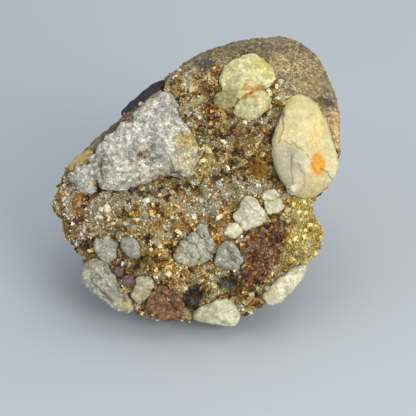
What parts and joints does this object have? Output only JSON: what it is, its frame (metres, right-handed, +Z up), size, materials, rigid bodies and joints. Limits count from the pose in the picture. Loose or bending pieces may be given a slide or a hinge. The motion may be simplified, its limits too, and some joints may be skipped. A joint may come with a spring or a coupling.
{
  "type": "puddingstone",
  "caption": "Hand-sized lump of quartz pebble conglomerate, leaning back on a small flat spot with its broken face forward and up.",
  "frame": {"origin": "middle of the flat spot that the stone rests on", "axes": "+Z up, -Y towards the side that the broken face looks to, +X to the right of someone facing it"},
  "size_m": [0.1418, 0.1232, 0.1217],
  "materials": {
    "stone": "rough sandy matrix in ochre and brown around smooth white, cream and grey quartz pebbles"
  },
  "bodies": {
    "root": {"puddingstone": "stone"}
  },
  "joints": []
}
